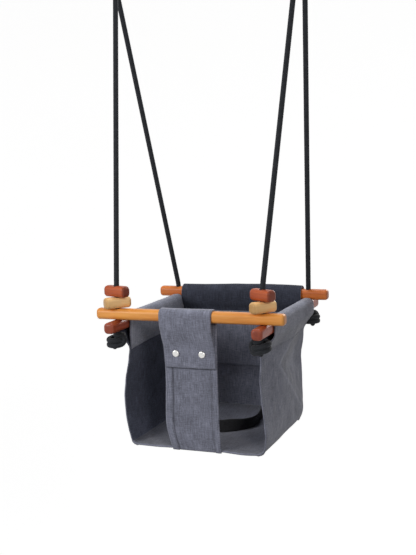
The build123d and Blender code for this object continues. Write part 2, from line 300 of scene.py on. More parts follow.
def knot_line(middle, turned, mirrored=1):
    """A stopper: the rope goes down, twice round itself, up over its own turns, and out below.

    turned is the way that the last turn over the others faces, and mirrored is -1 where the turns
    run the other way round.
    """
    turns, steps, wide = 2.1, 26, 14.2 * MM
    route = [middle + Vector((0, 0, 17 * MM)), middle + Vector((0, 0, 14 * MM))]
    for i in range(steps + 1):
        share = i / steps
        angle = turned + mirrored * 2 * pi * turns * (share - 1)
        reach = wide * smoothstep(-0.04, 0.14, share) * (1 + 0.05 * sin(2 * angle + 0.8))
        height = 8.6 * MM - 19.5 * MM * share + 1.9 * MM * sin(angle + 1.1)
        route.append(middle + Vector((reach * cos(angle), reach * sin(angle), height)))
    out = Vector((cos(turned), sin(turned), 0))
    aside = Vector((-sin(turned), cos(turned), 0)) * mirrored
    tail = [(15.2, 8.5, -7.5), (16.4, 11.5, 0), (13.5, 11.0, 7.0), (6, 6, 8.0),
            (2, 0, 2), (1, -2, -8), (2, -4, -14), (4, -7, -18.5)]
    for reach, over, height in tail:
        route.append(middle + (out * reach + aside * over + Vector((0, 0, height))) * MM)
    return nurbs_line("knot_line", route, resolution=8)


def make_ropes():
    """Both ropes: the long cord, the end that stands in the front holes, and the knots."""
    pieces = []
    for side, word in ((-1, "left"), (1, "right")):
        hole = side * HALF
        knots = []
        for place, y, turned, mirrored, shift in (
            ("front", -HALF, -45 if side < 0 else -150, -side, (-4.5, -2.5, 0)),
            ("back", HALF, 150 if side < 0 else 30, side, (side * 4, 2, 1.5)),
        ):
            middle = Vector((hole, y, KNOT_TOP - 16.5 * MM)) + Vector(shift) * MM
            route = knot_line(middle, radians(turned), mirrored)
            knot = rope_tube(f"{word}_{place}_stopper_knot", route, step=1.2 * MM, round_end=True)
            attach(knot, "seat")
            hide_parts(f"{word}_{place}_knot")
            knots.append(knot)
        stub_line = [Vector((hole, -HALF, z)) for z in (KNOT_TOP - 6 * MM, BAR_Z + LIFT + 2 * MM)]
        stub = rope_tube(f"{word}_rope_in_holes", stub_line, radius=4.5 * MM)
        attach(stub, "seat")
        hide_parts(f"{word}_rope_front_end")
        line = nurbs_line(f"{word}_rope_line", rope_route(side))
        cord = rope_tube(f"{word}_rope", line)
        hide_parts(f"{word}_rope_front_leg", f"{word}_ring_hitch", f"{word}_rope_back_leg")
        length = running_lengths(line)[-1]
        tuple(line[0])
        along(line, 4 * MM)
        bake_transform(cord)
        pieces += [cord, stub, *knots]
    return pieces


ropes = make_ropes()


# ---- materials
class Shader:
    """A node material with a few short ways to add and join nodes."""

    def __init__(self, name, roughness, **sockets):
        self.material = bpy.data.materials.new(name)
        self.material.use_nodes = True
        self.tree = self.material.node_tree
        self.surface = next(n for n in self.tree.nodes if n.type == "BSDF_PRINCIPLED")
        self.surface.inputs["Roughness"].default_value = roughness
        for socket, value in sockets.items():
            self.surface.inputs[socket.replace("_", " ")].default_value = value

    def node(self, kind, inputs=(), **settings):
        made = self.tree.nodes.new(kind)
        for key, value in settings.items():
            setattr(made, key, value)
        for socket, value in dict(inputs).items():
            self.give(made.inputs[socket], value)
        return made

    def give(self, socket, value):
        if isinstance(value, bpy.types.NodeSocket):
            self.tree.links.new(value, socket)
        else:
            socket.default_value = value

    def math(self, operation, a, b=0.0, c=0.0):
        return self.node("ShaderNodeMath", {0: a, 1: b, 2: c}, operation=operation).outputs[0]

    def total(self, *terms):
        """The sum of (value, weight) pairs."""
        parts = [self.math("MULTIPLY", value, weight) for value, weight in terms]
        made = parts[0]
        for part in parts[1:]:
            made = self.math("ADD", made, part)
        return made

    def on_cloth(self):
        return self.node("ShaderNodeUVMap", uv_map="cloth").outputs[0]

    def on_object(self):
        return self.node("ShaderNodeTexCoord").outputs["Object"]

    def noise(self, place, scale, stretch=(1, 1, 1), detail=3.0, turn=0.0):
        settings = {"Vector": place, "Scale": stretch, "Rotation": (0, 0, turn)}
        mapping = self.node("ShaderNodeMapping", settings)
        made = self.node("ShaderNodeTexNoise",
                         {"Vector": mapping.outputs[0], "Scale": scale, "Detail": detail, "Roughness": 0.6})
        return made.outputs["Fac"]

    def ramp(self, factor, stops):
        made = self.node("ShaderNodeValToRGB", {"Fac": factor})
        elements = made.color_ramp.elements
        while len(elements) < len(stops):
            elements.new(0.5)
        for element, (place, colour) in zip(elements, stops):
            element.position = place
            element.color = (*colour, 1)
        return made.outputs["Color"]

    def mix(self, factor, a, b, blend="MIX"):
        made = self.node("ShaderNodeMix", {0: factor, 6: a, 7: b}, data_type="RGBA", blend_type=blend)
        return made.outputs[2]

    def bump(self, height, strength, distance, below=None):
        made = self.node("ShaderNodeBump", {"Height": height, "Strength": strength, "Distance": distance})
        if below is not None:
            self.tree.links.new(below, made.inputs["Normal"])
        return made.outputs["Normal"]

    def finish(self, colour, normal=None, roughness=None):
        self.give(self.surface.inputs["Base Color"], colour)
        if normal is not None:
            self.give(self.surface.inputs["Normal"], normal)
        if roughness is not None:
            self.give(self.surface.inputs["Roughness"], roughness)
        return self.material


def shade(colour, factor):
    """A colour made lighter or darker."""
    return tuple(channel * factor for channel in colour)


def canvas(name, colour, sheen=0.25):
    """Plain-woven melange canvas. Its yarns follow the cloth's own UVs, in metres.

    A per-vertex attribute on each piece lightens it with rubbed wear and painted highlight, and darkens it
    with painted shade where it is negative.
    """
    s = Shader(name, 0.92, Sheen_Weight=sheen, Sheen_Roughness=0.5, Specular_IOR_Level=0.08)
    place = s.on_cloth()
    warp = s.noise(place, 1.0, (620, 42, 1), detail=3)
    weft = s.noise(place, 1.0, (60, 620, 1), detail=3)
    cloud = s.noise(place, 1.0, (26, 26, 1), detail=4)
    fibre = s.noise(place, 1.0, (330, 330, 1), detail=4)
    yarn = s.total((warp, 0.6), (weft, 0.4))
    tone = s.total((yarn, 0.62), (cloud, 0.18), (fibre, 0.2))
    colours = s.ramp(tone, [
        (0.38, shade(colour, 0.5)), (0.47, shade(colour, 0.86)),
        (0.54, shade(colour, 1.14)), (0.64, shade(colour, 1.75)),
    ])
    # The colour is multiplied by one plus the per-vertex attribute: rubbed wear, painted highlight and
    # painted shade.
    wear_and_shade = s.node("ShaderNodeAttribute", attribute_name="wear_and_shade").outputs["Fac"]
    level = s.math("ADD", wear_and_shade, 1.0)
    grey = s.node("ShaderNodeCombineXYZ", {axis: level for axis in (0, 1, 2)}).outputs[0]
    colours = s.mix(1.0, colours, grey, "MULTIPLY")
    split = s.node("ShaderNodeSeparateXYZ", {0: place})
    pitch = 2 * pi / (1.5 * MM)
    across = s.math("SINE", s.math("MULTIPLY", split.outputs[0], pitch))
    down = s.math("SINE", s.math("MULTIPLY", split.outputs[1], pitch))
    weave = s.math("MULTIPLY", across, down)
    fine = s.bump(weave, 0.35, 0.12 * MM)
    slub = s.bump(yarn, 0.6, 0.5 * MM, fine)
    return s.finish(colours, slub)


def wood(name, light, dark, length_axis=0, yaw=0.0, half_length=0.195, centre=(0, 0, 0)):
    """Oiled hardwood with its grain along X or Y, turned by yaw, and darker on the sawn ends."""
    s = Shader(name, 0.42, Coat_Weight=0.08, Coat_Roughness=0.3, Specular_IOR_Level=0.32)
    place = s.on_object()
    moved = s.node("ShaderNodeMapping", {"Vector": place, "Location": tuple(-c for c in centre)}).outputs[0]
    turned = s.node("ShaderNodeMapping", {"Vector": moved, "Rotation": (0, 0, -yaw)}).outputs[0]
    along_x = length_axis == 0
    long_scale = (7, 95, 95) if along_x else (95, 7, 95)
    fine_scale = (30, 900, 900) if along_x else (900, 30, 900)
    bands = s.noise(turned, 1.0, long_scale, detail=5)
    pores = s.noise(turned, 1.0, fine_scale, detail=2)
    patches = s.noise(turned, 16.0, detail=2)
    tone = s.total((bands, 0.66), (pores, 0.14), (patches, 0.2))
    between = tuple((a + b) / 2 for a, b in zip(light, dark))
    colours = s.ramp(tone, [(0.36, dark), (0.5, between), (0.64, light)])
    split = s.node("ShaderNodeSeparateXYZ", {0: turned})
    reach = s.math("ABSOLUTE", split.outputs[0 if along_x else 1])
    past = s.math("DIVIDE", s.math("SUBTRACT", reach, half_length - 4 * MM), 4 * MM)
    sawn = s.math("SMOOTH_MIN", s.math("MAXIMUM", past, 0.0), 1.0, 0.1)
    ends = s.mix(sawn, colours, (*shade(dark, 0.62), 1))
    normal = s.bump(tone, 0.25, 0.35 * MM)
    rough = s.math("ADD", 0.34, s.math("MULTIPLY", pores, 0.2))
    return s.finish(ends, normal, rough)


def braided_rope():
    """Black braided polyester: fine filaments that slant along each strand."""
    s = Shader("rope", 0.75, Sheen_Weight=0.08, Sheen_Roughness=0.4, Specular_IOR_Level=0.22)
    place = s.on_cloth()
    one_way = s.noise(place, 1.0, (1500, 240, 1), detail=2, turn=0.5)
    other_way = s.noise(place, 1.0, (1500, 240, 1), detail=2, turn=-0.5)
    threads = s.math("MAXIMUM", one_way, other_way)
    patches = s.noise(place, 1.0, (90, 90, 1), detail=2)
    tone = s.total((threads, 0.7), (patches, 0.3))
    blacks = [(0.42, (0.005, 0.006, 0.008)), (0.56, (0.013, 0.015, 0.019)), (0.72, (0.034, 0.038, 0.048))]
    colours = s.ramp(tone, blacks)
    return s.finish(colours, s.bump(threads, 0.5, 0.3 * MM))


def brushed_metal(name, colour, roughness, grain):
    """Bare metal with fine turning or drawing marks and a few dull patches."""
    s = Shader(name, roughness, Metallic=1.0)
    place = s.on_object()
    marks = s.noise(place, 1.0, grain, detail=3)
    dip_shade = s.noise(place, 90.0, detail=3)
    colours = s.ramp(marks, [(0.3, shade(colour, 0.82)), (0.7, colour)])
    rough = s.math("ADD", roughness - 0.08, s.math("MULTIPLY", dip_shade, 0.22))
    return s.finish(colours, s.bump(marks, 0.12, 0.1 * MM), rough)


def webbing():
    """Black woven webbing: ribs across it, fine yarns along it."""
    s = Shader("webbing", 0.7, Sheen_Weight=0.2, Sheen_Roughness=0.4, Specular_IOR_Level=0.3)
    place = s.on_cloth()
    split = s.node("ShaderNodeSeparateXYZ", {0: place})
    ribs = s.math("SINE", s.math("MULTIPLY", split.outputs[1], 2 * pi / (1.6 * MM)))
    yarns = s.math("SINE", s.math("MULTIPLY", split.outputs[0], 2 * pi / (1.3 * MM)))
    fibre = s.noise(place, 1.0, (700, 200, 1), detail=3)
    height = s.total((ribs, 0.5), (yarns, 0.4))
    colours = s.ramp(fibre, [(0.35, (0.004, 0.004, 0.005)), (0.7, (0.018, 0.018, 0.021))])
    return s.finish(colours, s.bump(height, 0.6, 0.3 * MM))


def moulded_plastic():
    """Black acetal with the faint texture of its mould."""
    s = Shader("buckle_plastic", 0.45, Specular_IOR_Level=0.5)
    place = s.on_object()
    grain = s.noise(place, 1800.0, detail=3)
    scuffs = s.noise(place, 60.0, detail=4)
    colours = s.ramp(scuffs, [(0.4, (0.008, 0.008, 0.009)), (0.75, (0.02, 0.02, 0.022))])
    rough = s.math("ADD", 0.38, s.math("MULTIPLY", scuffs, 0.2))
    return s.finish(colours, s.bump(grain, 0.2, 0.08 * MM), rough)


def paint(node, material):
    """Gives a CAD node its own material."""
    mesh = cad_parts[node].data
    mesh.materials.clear()
    mesh.materials.append(material)


CANVAS = (0.205, 0.214, 0.272)
canvas_outside = canvas("canvas", CANVAS)
# A darker, bluer copy of the canvas with little sheen, put on inner faces as painted shade inside the seat.
canvas_inside_shade = canvas("canvas_inside_shade", (0.088, 0.097, 0.136), sheen=0.04)
thread = canvas("thread", shade(CANVAS, 0.8))
rope_material = braided_rope()
ring_steel = brushed_metal("ring_steel", (0.62, 0.62, 0.64), 0.3, (300, 900, 900))
snap_metal = brushed_metal("snap_metal", (0.7, 0.69, 0.67), 0.3, (700, 200, 700))
black_webbing = webbing()
buckle_plastic = moulded_plastic()

for piece in ropes:
    piece.data.materials.append(rope_material)
# Each bar's and spacer's light and dark grain.
HONEY = (0.86, 0.38, 0.075), (0.60, 0.185, 0.02)
AMBER = (0.72, 0.21, 0.035), (0.45, 0.095, 0.012)
RED = (0.44, 0.085, 0.028), (0.24, 0.035, 0.011)
PALE = (1.0, 0.72, 0.35), (0.88, 0.50, 0.18)
RUSSET = (0.54, 0.105, 0.018), (0.30, 0.045, 0.009)
YAWS = {"left": (46, -16), "right": (55, -28)}  # lower and upper spacer: turned on the rope, degrees
SPACER_HALF = 0.025
paint("front_bar", wood("front_wood", *HONEY))
paint("back_bar", wood("back_wood", *AMBER))
for word in ("left", "right"):
    paint(f"{word}_side_bar", wood(f"{word}_side_wood", *RED, length_axis=1))
    for height, yaw, grain in zip(("lower", "upper"), YAWS[word], (PALE, RUSSET)):
        node = f"{word}_{height}_spacer"
        middle = sum(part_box(node), Vector()) / 2
        timber = wood(f"{node}_wood", *grain, yaw=radians(yaw), half_length=SPACER_HALF, centre=middle)
        paint(node, timber)
    paint(f"{word}_ring", ring_steel)
for node in ("snap_caps", "snap_sockets", "snap_studs", "snap_posts"):
    paint(node, snap_metal)
for node in ("buckle_socket", "buckle_plug"):
    paint(node, buckle_plastic)


# ---- floor and light
def studio_white():
    """Near white, faintly clouded and glowing, so that the object stands before an even light ground."""
    white, glow = (0.9, 0.9, 0.9), {"Emission_Color": (1, 1, 1, 1), "Emission_Strength": 0.8}
    s = Shader("studio_white", 0.9, Specular_IOR_Level=0.1, **glow)
    place = s.on_object()
    cloud = s.noise(place, 2.0, detail=2)
    return s.finish(s.ramp(cloud, [(0.3, shade(white, 0.985)), (0.7, white)]))


def make_stage():
    """A pale round floor, well below the seat, that curves up into a high wall all round."""
    floor_z, wall, bend, tall, around, steps = SEAT_Z - 2.6, 5.5, 1.2, 10.0, 96, 12
    profile = [(0.0, floor_z), (wall - bend, floor_z)]
    for step in range(1, steps + 1):
        angle = pi / 2 * step / steps
        profile.append((wall - bend + bend * sin(angle), floor_z + bend * (1 - cos(angle))))
    profile.append((wall, floor_z + tall))
    verts = [(0.0, 0.0, floor_z)]
    for reach, z in profile[1:]:
        for k in range(around):
            verts.append((reach * cos(2 * pi * k / around), reach * sin(2 * pi * k / around), z))
    faces = [(0, 1 + k, 1 + (k + 1) % around) for k in range(around)]
    for row in range(len(profile) - 2):
        low, high = 1 + row * around, 1 + (row + 1) * around
        for k in range(around):
            after = (k + 1) % around
            faces.append((low + k, high + k, high + after, low + after))
    stage = add_mesh("studio_floor", verts, faces)
    stage.data.materials.append(studio_white())
    stage.visible_diffuse = False
    stage.visible_shadow = False


def area_light(name, place, target, size, power, colour=(1, 1, 1)):
    """A round lamp that faces the target. Its size is in metres and its power in watts."""
    data = bpy.data.lights.new(name, "AREA")
    data.shape = "DISK"
    data.size = size
    data.energy = power
    data.color = colour
    light = bpy.data.objects.new(name, data)
    scene.collection.objects.link(light)
    light.location = place
    light.rotation_euler = (Vector(target) - Vector(place)).to_track_quat("-Z", "Y").to_euler()


make_stage()
seat_middle = (0, 0, below(120))
area_light("key", (-0.85, -1.25, BAR_Z + 0.5), (0, -0.1, below(150)), 0.7, 12.6, (0.98, 0.985, 1.0))
area_light("fill", (1.7, -2.0, BAR_Z + 0.9), seat_middle, 0.7, 16.5, (1.0, 0.965, 0.94))
area_light("top", (-0.1, 0.25, BAR_Z + 1.9), seat_middle, 0.8, 19, (0.97, 0.98, 1.0))
area_light("rear", (0.5, 1.9, BAR_Z + 0.8), seat_middle, 0.9, 13)
world = bpy.data.worlds.new("studio")
world.use_nodes = True
sky = world.node_tree.nodes["Background"]
sky.inputs["Color"].default_value = (1, 1, 1, 1)
sky.inputs["Strength"].default_value = 0.17
scene.world = world
scene.view_settings.view_transform = "Standard"


# ---- cloth
def smooth_run(points, counts):
    """A smooth line through the points, with counts[i] steps between point i and the next."""
    runs = [(b - a).length for a, b in zip(points, points[1:])]
    ways = [(b - a) / run for a, b, run in zip(points, points[1:], runs)]
    slopes = [ways[0]]
    for i in range(1, len(ways)):
        slopes.append((ways[i - 1] * runs[i] + ways[i] * runs[i - 1]) / (runs[i - 1] + runs[i]))
    slopes.append(ways[-1])
    line = [points[0].copy()]
    for i, count in enumerate(counts):
        for step in range(1, count + 1):
            ends = points[i], points[i + 1], runs[i] * slopes[i], runs[i] * slopes[i + 1]
            line.append(cubic(step / count, *ends))
    return line


def marks(total, step, seams=()):
    """Places a step apart from 0 to total, with a close pair at each seam so that it stays crisp."""
    count = max(round(total / step), 1)
    places = [total * i / count for i in range(count + 1)]
    for seam in seams:
        places = [place for place in places if abs(place - seam) > 1.3 * MM]
        places += [seam - 0.5 * MM, seam + 0.5 * MM]
    return sorted(places)


def measured(grid):
    """How far along a grid's middle row its columns are, and along its middle column its rows."""
    rows, columns = len(grid), len(grid[0])
    return running_lengths(grid[rows // 2]), running_lengths([row[columns // 2] for row in grid])


def grid_normals(grid, facing):
    """The upward direction of a grid of points at each point."""
    rows, columns = len(grid), len(grid[0])
    normals = []
    for i in range(rows):
        low, high = grid[max(i - 1, 0)], grid[min(i + 1, rows - 1)]
        row = grid[i]
        normals.append([
            facing * (row[min(j + 1, columns - 1)] - row[max(j - 1, 0)]).cross(high[j] - low[j]).normalized()
            for j in range(columns)
        ])
    return normals


def crumple(grid, facing, amount, size, seed, hold=lambda i, j: 1):
    """Moves a grid along its normals by smooth noise. hold(i, j) is 0 where the cloth is held still."""
    normals = grid_normals(grid, facing)
    for i, row in enumerate(grid):
        for j, point in enumerate(row):
            place = Vector((point.x / size, point.y / size, point.z / size + seed))
            wave = noise.noise(place) + 0.45 * noise.noise(2.3 * place)
            row[j] = point + normals[i][j] * amount * wave * hold(i, j)


def place_between(places, x):
    """Which of the rising places x follows, and how far it is to the next."""
    i = 0
    while i < len(places) - 2 and places[i + 1] < x:
        i += 1
    return i, min(max((x - places[i]) / (places[i + 1] - places[i]), 0.0), 1.0)


STITCH, STITCH_GAP = 3.1 * MM, 1.2 * MM
THREAD_R = 0.42 * MM
AROUND_THREAD = 6  # vertices round a stitch
# Along a stitch: how far, how thick, and how high its middle is above the cloth, in thread radii.
STITCH_RINGS = ((0, 0.35, -0.5), (0.16, 0.9, 0.3), (0.84, 0.9, 0.3), (1, 0.35, -0.5))


def stitch_row(face, normals, us, vs, route, verts, faces, uvs):
    """Adds a row of stitches along a route of (u, v) places on a cloth's face."""

    def surface(u, v):
        j, a = place_between(us, u)
        i, b = place_between(vs, v)
        point = face[i][j].lerp(face[i][j + 1], a).lerp(face[i + 1][j].lerp(face[i + 1][j + 1], a), b)
        return point, normals[i][j].lerp(normals[i + 1][j + 1], 0.5).normalized()

    flat = [Vector((u, v, 0)) for u, v in route]
    total = running_lengths(flat)[-1]
    points = along(flat, total / max(round(total / (STITCH + STITCH_GAP)), 1))
    for a, b in zip(points, points[1:]):
        start, end = a.lerp(b, 0.14), a.lerp(b, 0.86)
        first, up = surface(start.x, start.y)
        last, _ = surface(end.x, end.y)
        run = last - first
        if run.length < 1e-5:
            continue
        side = run.cross(up).normalized() * THREAD_R
        base = len(verts)
        for share, size, height in STITCH_RINGS:
            middle = first + run * share + up * THREAD_R * height
            for k in range(AROUND_THREAD):
                turn = 2 * pi * k / AROUND_THREAD
                verts.append(middle + size * (cos(turn) * side + sin(turn) * THREAD_R * up))
                uvs.append((a.x + k * 0.3 * MM, a.y + share * STITCH))
        last_ring = base + AROUND_THREAD * (len(STITCH_RINGS) - 1)
        for ring in range(base, last_ring, AROUND_THREAD):
            for k in range(AROUND_THREAD):
                p, q = ring + k, ring + (k + 1) % AROUND_THREAD
                faces.append((p, q, q + AROUND_THREAD, p + AROUND_THREAD))
        faces.append(tuple(base + k for k in reversed(range(AROUND_THREAD))))
        faces.append(tuple(last_ring + k for k in range(AROUND_THREAD)))


def even(u, v):
    """The same all over: neither lifted, worn nor shaded."""
    return 0.0


def cloth(name, node, grid, facing=1, half=0.8 * MM, rise=even, wear_and_shade=even, inner_shade=0.0, seams=(),
          materials=(canvas_outside, thread)):
    """A closed thin piece of cloth round a grid of points, in a node's place, and the size it was cut to.

    Columns run along u and rows along v, in metres from the first point. The outer face is on the side
    that facing gives, half the thickness out. rise(u, v) lifts it, as a hem does, and the next function of
    (u, v) gives how much its canvas is lightened there by rubbed wear and painted highlight and darkened by
    painted shade. The number after it is painted shade for the whole inner face. seams are routes of (u, v)
    places for rows of stitches. materials are the outside's, the thread's and the inside's, which is a
    darker canvas copy that paints shade on the inner face.
    """
    rows, columns = len(grid), len(grid[0])
    us, vs = measured(grid)
    normals = grid_normals(grid, facing)
    outer, inner = [], []
    for i in range(rows):
        outer.append([grid[i][j] + normals[i][j] * (half + rise(us[j], vs[i])) for j in range(columns)])
        inner.append([grid[i][j] - normals[i][j] * half for j in range(columns)])
    verts = [point for row in outer for point in row] + [point for row in inner for point in row]
    uvs = [(u, v) for v in vs for u in us] * 2
    back = rows * columns
    faces = []
    for i in range(rows - 1):
        for j in range(columns - 1):
            p = i * columns + j
            quad = (p, p + 1, p + columns + 1, p + columns)[::facing]
            faces += [quad, tuple(corner + back for corner in quad[::-1])]
    edge = [(0, j) for j in range(columns)] + [(i, columns - 1) for i in range(1, rows)]
    edge += [(rows - 1, j) for j in range(columns - 2, -1, -1)] + [(i, 0) for i in range(rows - 2, 0, -1)]
    rim = len(verts)
    for i, j in edge:
        middle = outer[i][j].lerp(inner[i][j], 0.5)
        inside = grid[min(max(i, 1), rows - 2)][min(max(j, 1), columns - 2)]
        out = (grid[i][j] - inside).normalized()
        verts.append(middle + out * 0.5 * (outer[i][j] - inner[i][j]).length)
        uvs.append((us[j], vs[i]))
    for k, (i, j) in enumerate(edge):
        after = (k + 1) % len(edge)
        ni, nj = edge[after]
        here, there = i * columns + j, ni * columns + nj
        upper = (here, there, rim + after, rim + k)
        lower = (rim + k, rim + after, there + back, here + back)
        faces += [upper[::-facing], lower[::-facing]]
    sheet_faces = len(faces)
    for route in seams:
        stitch_row(outer, normals, us, vs, route, verts, faces, uvs)
    piece = add_mesh(name, verts, faces, uvs)
    for material in materials:
        piece.data.materials.append(material)
    for polygon in piece.data.polygons[sheet_faces:]:
        polygon.material_index = 1
    if len(piece.data.materials) > 2:
        for polygon in piece.data.polygons[: 2 * (rows - 1) * (columns - 1)]:
            if polygon.vertices[0] >= back:
                polygon.material_index = 2
    # Per-vertex lightening and darkening: the inner face takes one painted shade value all over. The outer
    # face takes the rubbed wear, painted highlight and painted shade given for each place.
    shades = piece.data.attributes.new("wear_and_shade", "FLOAT", "POINT")
    for i in range(back, 2 * back):
        shades.data[i].value = inner_shade
    for i, v in enumerate(vs):
        for j, u in enumerate(us):
            shades.data[i * columns + j].value = wear_and_shade(u, v)
    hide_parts(node)
    return piece, (us[-1], vs[-1])


# The outside canvas, the thread, and the darker canvas copy that paints shade on the inner faces.
SHADED_INSIDE = (canvas_outside, thread, canvas_inside_shade)


# ---- side walls
# From here to the lap belt, lengths without MM are in millimetres and heights, zb, are from the front
# bar's axis. Each table gives how far out a wall stands at each height: at its front, middle and back.
WALL_TABLES = {
    1: (
        [(-268, 136), (-231, 141), (-200, 139), (-167, 135.5), (-124, 133), (-72, 136), (-45, 139)],
        [(-268, 136), (-231, 139), (-167, 142), (-124, 144.5), (-72, 148), (-45, 152)],
        [(-268, 133), (-240, 137), (-211, 141), (-150, 147), (-110, 148), (-72, 148), (-45, 148)],
    ),
    -1: (
        [(-268, 139), (-221, 150.5), (-180, 152.5), (-139, 148.5), (-105, 142.5), (-75, 139), (-45, 140)],
        [(-268, 136), (-231, 142), (-167, 145.5), (-124, 146.5), (-72, 148.5), (-45, 152)],
        [(-268, 134), (-240, 138.5), (-211, 140.5), (-150, 141.5), (-110, 142.5), (-72, 144), (-45, 147)],
    ),
}
# A fold that the weight of the seat draws in each wall: its point, the slopes of the two creases that
# leave it towards the back, and how steeply the cloth dips between them.
FOLDS = {
    1: ((-38, -112), radians(27), radians(-38), 0.34),
    -1: ((-8, -142), radians(30), radians(-33), 0.12),
}
FRONT_Y = [(-268, -130), (-150, -129), (-80, -127.5), (-50, -125.5), (-36, -124), (0, -124)]
BACK_Y = [(-268, 133), (-245, 136), (-150, 142), (-80, 145), (-52, 143), (-38, 142.5), (-17, 142),
          (-10, 138.4), (0, 138)]


def from_creases(side, y, zb):
    """How far below a side's upper crease and above its lower one a place is."""
    (fold_y, fold_z), upper, lower, _ = FOLDS[side]
    below_upper = (y - fold_y) * sin(upper) - (zb - fold_z) * cos(upper)
    return below_upper, (zb - fold_z) * cos(lower) - (y - fold_y) * sin(lower)


def wall_x(side, share, zb):
    """How far out a side wall stands, share of the way from its front edge to its back."""
    front, middle, rear = (interpolate(table, zb) for table in WALL_TABLES[side])
    x = interpolate([(0, front), (0.5, middle), (1, rear)], share)
    from_upper, from_lower = from_creases(side, wall_y(share, zb), zb)
    dip = FOLDS[side][3]
    depth = (from_upper + from_lower - sqrt((from_upper - from_lower) ** 2 + 16)) / 2
    depth = (depth + sqrt(depth**2 + 5)) / 2 - 0.4
    return x - dip * max(depth, 0.0) * smoothstep(-255, -225, zb) * smoothstep(1.45, 0.55, share)


def wall_y(share, zb):
    """How far back a place on a side wall is, share of the way from its front edge to its back."""
    front, rear = interpolate(FRONT_Y, zb), interpolate(BACK_Y, zb)
    return front + (rear - front) * share


SLACK = {-1: 4.5, 1: 3.0}  # how far each side sleeve stands off the top of its bar
HEM_Z = -70  # where a side sleeve is sewn down, from the front bar's axis
SIDE_DROP = (SIDE_BAR_Z - BAR_Z) / MM
SLEEVE_IN, SLEEVE_OUT = 137.8, 162.6  # a side sleeve's two sides, under its bar
SLEEVE_ARC = [radians(angle) for angle in range(165, 0, -20)]
SIDE_LEVELS = [HEM_Z, -92, -110, -130, -150, -170, -190, -210, -228, -244, -257]
FRONT_HEM = 9 * MM


def side_line(side, share):
    """Points up the inside, over the bar and down the outside of a side wall, at one place along it."""

    def at(x, zb):
        return Vector((side * x * MM, wall_y(share, zb) * MM, BAR_Z + zb * MM))

    hem_x = wall_x(side, share, HEM_Z)
    points = [at(wall_x(side, share, HEM_Z - 4) - 2.8, HEM_Z - 4), at(hem_x - 2.6, HEM_Z + 3)]
    points += [at((hem_x - 2.6) * 0.42 + SLEEVE_IN * 0.58, -53), at(SLEEVE_IN, -34)]
    for angle in SLEEVE_ARC:
        radius = 12.3 + 1.9 * sin(2 * angle) ** 2
        points.append(at(HALF / MM + radius * cos(angle), SIDE_DROP + (radius + SLACK[side]) * sin(angle)))
    points += [at(SLEEVE_OUT, -35), at(hem_x * 0.6 + (SLEEVE_OUT - 0.4) * 0.4, -57)]
    points += [at(wall_x(side, share, zb), zb) for zb in SIDE_LEVELS]
    foot = wall_x(side, share, SIDE_LEVELS[-1])
    return points + [at(foot - 3.5, -265), at(foot - 13, -268.9)]


def side_wall(side, word):
    """Canvas from a hem inside, up and over the side bar, and down outside to the seat base."""
    to_bar, over, to_hem = [2, 8, 7, 5], [2] * len(SLEEVE_ARC), [5, 9]
    counts = to_bar + over + to_hem + [7] * (len(SIDE_LEVELS) - 2) + [5, 3, 4]
    deep = 258 * MM
    shares = [place / deep for place in marks(deep, 2.6 * MM, (FRONT_HEM,))]
    columns = [smooth_run(side_line(side, share), counts) for share in shares]
    grid = [list(row) for row in zip(*columns)]
    sewn = sum(to_bar + over + to_hem)  # the row where the sleeve's two sides meet

    def hold(i, j):
        return 0.25 + 0.75 * smoothstep(0, 12, i - sewn) * smoothstep(0, 10, len(grid) - 1 - i)

    crumple(grid, -side, 1.5 * MM, 62 * MM, 3.7 + side, hold)
    crumple(grid, -side, 0.45 * MM, 19 * MM, 9.1 - side, hold)

    def rise(u, v):
        return 1.1 * MM * (1 - ridge(u, FRONT_HEM))

    us, vs = measured(grid)
    full, sewn_v = us[-1], vs[sewn]
    heights = [(v, (row[len(row) // 2].z - BAR_Z) / MM) for v, row in zip(vs, grid)]
    seams = [
        [(3 * MM, sewn_v), (full - 3 * MM, sewn_v)],
        [(4 * MM, 4.5 * MM), (full - 3 * MM, 4.5 * MM)],
        [(FRONT_HEM - 1.6 * MM, sewn_v + 4 * MM), (FRONT_HEM - 1.6 * MM, vs[-1] - 18 * MM)],
    ]

    def wear_and_shade(u, v):
        # Front edge lighter with rubbed wear, and a painted shadow line just behind the front hem where it
        # steps down.
        front = 0.16 * bell(u, 0, 2.5 * MM) - 0.22 * bell(u, 10 * MM, 1.3 * MM)
        # Painted shade in the grooves along the sleeve's sewn row and the inner hem's row.
        seam_shade = -0.2 * bell(v, sewn_v + 1.5 * MM, 1.6 * MM) - 0.2 * bell(v, 6 * MM, 1.4 * MM)
        # Darker over the last 15 mm of cloth, where the wall turns under into the floor.
        foot = -0.35 * ridge(v, vs[-1] - 15 * MM, 6 * MM)
        zb = interpolate(heights, v)
        from_upper, from_lower = from_creases(side, wall_y(u / full, zb), zb)
        inside = min(from_upper, from_lower)
        held = smoothstep(sewn_v, sewn_v + 20 * MM, v)
        # Painted shade in the dip between the fold's two creases. The crease lines are lighter with rubbed
        # wear and painted highlight.
        dip_shade = 0.24 * smoothstep(0, 5, inside) * smoothstep(60, 12, inside)
        return front + seam_shade + foot + (0.3 * bell(inside, -1.5, 3.5) - dip_shade) * held

    # The inner face takes the darker canvas copy: painted shade.
    return cloth(f"{word}_side_wall", f"{word}_side_panel", grid, -side, rise=rise, wear_and_shade=wear_and_shade, seams=seams,
                 materials=SHADED_INSIDE)


# ---- back
BACK_SLEEVE_HALF = 136.6  # half the width of the sleeve round the back bar
BACK_TABLE = [(-268, 130.5), (-235, 134.5), (-160, 140), (-90, 144.5), (-60, 147), (-38, 150)]


def back_y(zb):
    """How far behind the middle the back wall is."""
    return interpolate(BACK_TABLE, zb)


